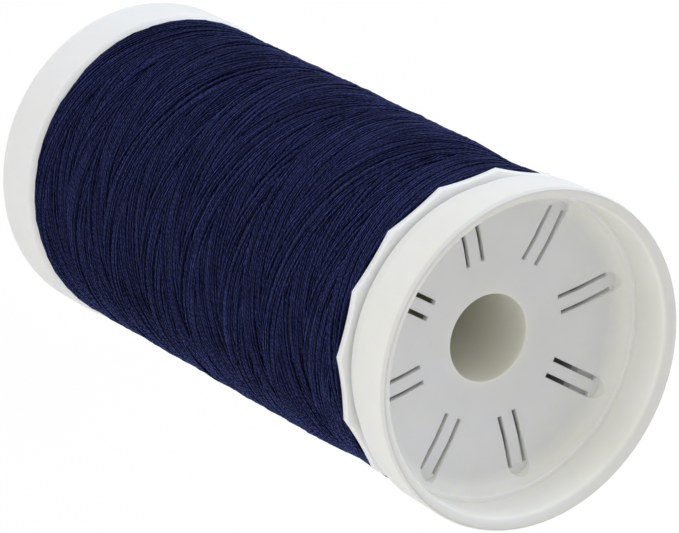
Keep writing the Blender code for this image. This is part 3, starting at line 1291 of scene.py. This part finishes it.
    def build_core(self) -> bpy.types.Object:
        """Make the plain inner mass of thread under the laid layer.

        Returns:
            The finished piece.
        """
        outer = self.sizes.winding + self.proud - self.core_depth
        low, high = self.sizes.core_low - self.core_margin, self.sizes.core_high + self.core_margin
        points = [(self.barrel, low)]
        for i in range(self.core_steps + 1):
            height = low + (high - low) * i / self.core_steps
            near = min(1.0, (self.high - height) / self.waist_span)
            pinch = self.waist * math.sin(math.pi * near) ** 2
            points.append((outer - self.taper * i / self.core_steps - pinch, height))
        points.append((self.barrel, high))
        piece = add_piece("thread_inner_mass", turned(points, self.core_segments), self.core_finish)
        return settle(piece, Body.SPOOL, Slot.CORE, "thread_core")

    def build(self) -> None:
        """Make the core and every stretch."""
        self.build_core()
        tree, names = self.tree()
        for stretch in range(self.stretches):
            self.lay(stretch, tree, names)


@dataclass
class Studio:
    """Camera, lamp, floor and background."""

    target: Vector = field(default_factory=lambda: Vector((0.000512, -0.000017, 0.035262)))
    azimuth: float = -1.953
    elevation: float = 51.945
    roll: float = 117.730
    distance: float = 0.39507
    lens: float = 236.87
    sensor: float = 36.0
    nearest: float = 0.01
    furthest: float = 20.0
    lamp_azimuth: float = -103.0
    lamp_elevation: float = 8.0
    lamp_distance: float = 0.9
    lamp_power: float = 2.7
    lamp_size: float = 0.6
    lamp_colour: Colour = (0.58, 0.74, 1.0)
    floor_size: float = 6.0
    floor_colour: Colour = (0.86, 0.86, 0.86)
    floor_roughness: float = 0.9
    floor_specular: float = 0.1
    floor_glow: float = 1.04
    floor_glow_share: float = 0.9
    zenith: float = 0.63
    horizon: float = 1.90
    fall: float = 4.0

    def stand(
        self,
        name: str,
        data: bpy.types.ID,
        azimuth: float,
        elevation: float,
        distance: float,
        roll: float = 0.0,
    ) -> bpy.types.Object:
        """Stand a camera or a lamp round the spool, looking at it.

        Args:
            name: The object's name.
            data: The camera or the lamp.
            azimuth: Direction round the spool in degrees, 0 in front.
            elevation: Angle above the floor in degrees.
            distance: Distance from the target.
            roll: Turn about the line of sight in degrees.

        Returns:
            The new object.
        """
        made = bpy.data.objects.new(name, data)
        a, e = math.radians(azimuth), math.radians(elevation)
        back = Vector((math.sin(a) * math.cos(e), -math.cos(a) * math.cos(e), math.sin(e)))
        made.location = self.target + back * distance
        made.rotation_mode = "QUATERNION"
        aim = (-back).to_track_quat("-Z", "Y")
        made.rotation_quaternion = aim @ Quaternion((0.0, 0.0, 1.0), math.radians(roll))
        bpy.context.scene.collection.objects.link(made)
        return made

    def camera(self) -> None:
        """Place the camera at the photograph's angle."""
        data = bpy.data.cameras.new("camera")
        data.lens = self.lens
        data.sensor_width = self.sensor
        data.clip_start = self.nearest
        data.clip_end = self.furthest
        made = self.stand("camera", data, self.azimuth, self.elevation, self.distance, self.roll)
        bpy.context.scene.camera = made

    def lamp(self) -> None:
        """Place the soft square lamp at the side."""
        data = bpy.data.lights.new("side_lamp", "AREA")
        data.color = self.lamp_colour
        data.shape = "SQUARE"
        data.size = self.lamp_size
        data.energy = self.lamp_power
        self.stand("side_lamp", data, self.lamp_azimuth, self.lamp_elevation, self.lamp_distance)

    def world(self) -> None:
        """White background for camera, gloss and glass; soft light, brightest at the horizon, for the rest."""
        made = bpy.data.worlds.new("studio")
        made.use_nodes = True
        nodes = Shader(made.node_tree)
        height = nodes.parts(nodes.add("ShaderNodeTexCoord").outputs["Generated"])["Z"]
        level = nodes.math("SUBTRACT", 1.0, nodes.math("ABSOLUTE", height))
        glow = nodes.math("MULTIPLY_ADD", nodes.math("POWER", level, self.fall), self.horizon, self.zenith)
        path = nodes.add("ShaderNodeLightPath").outputs
        seen = nodes.math("MAXIMUM", path["Is Camera Ray"], path["Is Transmission Ray"])
        seen = nodes.math("MAXIMUM", seen, path["Is Glossy Ray"])
        lit = nodes.math("MULTIPLY", nodes.math("SUBTRACT", 1.0, seen), glow)
        nodes.fill(made.node_tree.nodes["Background"], {
            "Color": (1.0, 1.0, 1.0, 1.0),
            "Strength": nodes.math("ADD", lit, seen),
        })
        bpy.context.scene.world = made

    def floor(self) -> None:
        """Pale floor that shows as near white and keeps a faint shadow."""
        made, nodes, surface = new_material("pale_floor")
        nodes.fill(surface, {
            "Base Color": (*self.floor_colour, 1.0),
            "Roughness": self.floor_roughness,
            "Specular IOR Level": self.floor_specular,
        })
        glow = nodes.add("ShaderNodeEmission", {"Strength": self.floor_glow}).outputs[0]
        camera_ray = nodes.add("ShaderNodeLightPath").outputs["Is Camera Ray"]
        share = nodes.math("MULTIPLY", camera_ray, self.floor_glow_share)
        blend = nodes.add("ShaderNodeMixShader", {0: share, 1: surface.outputs[0], 2: glow})
        nodes.join(blend.outputs[0], made.node_tree.nodes["Material Output"].inputs["Surface"])
        bm = bmesh.new()
        bmesh.ops.create_grid(bm, x_segments=1, y_segments=1, size=self.floor_size / 2)
        add_piece("floor", bm, made)

    def build(self) -> None:
        """Set the whole studio up."""
        self.camera()
        self.world()
        self.floor()
        self.lamp()
        bpy.context.scene.view_settings.view_transform = "Standard"


def main() -> None:
    """Build every piece, dress it and light it."""
    logging.basicConfig(level=logging.INFO, format="%(message)s")
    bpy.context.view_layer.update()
    sizes = FrameSizes.read()
    Studio().build()
    shell = PlasticFinish(Slot.SHELL.value, SHELL_WHITE, SHELL_SHADE)
    cup = PlasticFinish(Slot.BASE.value, CUP_WHITE, CUP_SHADE)
    core, thread = CoreFinish(Slot.CORE.value), ThreadFinish(Slot.THREAD.value)
    SpoolShell(sizes, shell.build()).build()
    BaseCup(sizes, cup.build()).build()
    Winding(sizes, core.build(), thread.build()).build()


if __name__ == "__main__":
    main()
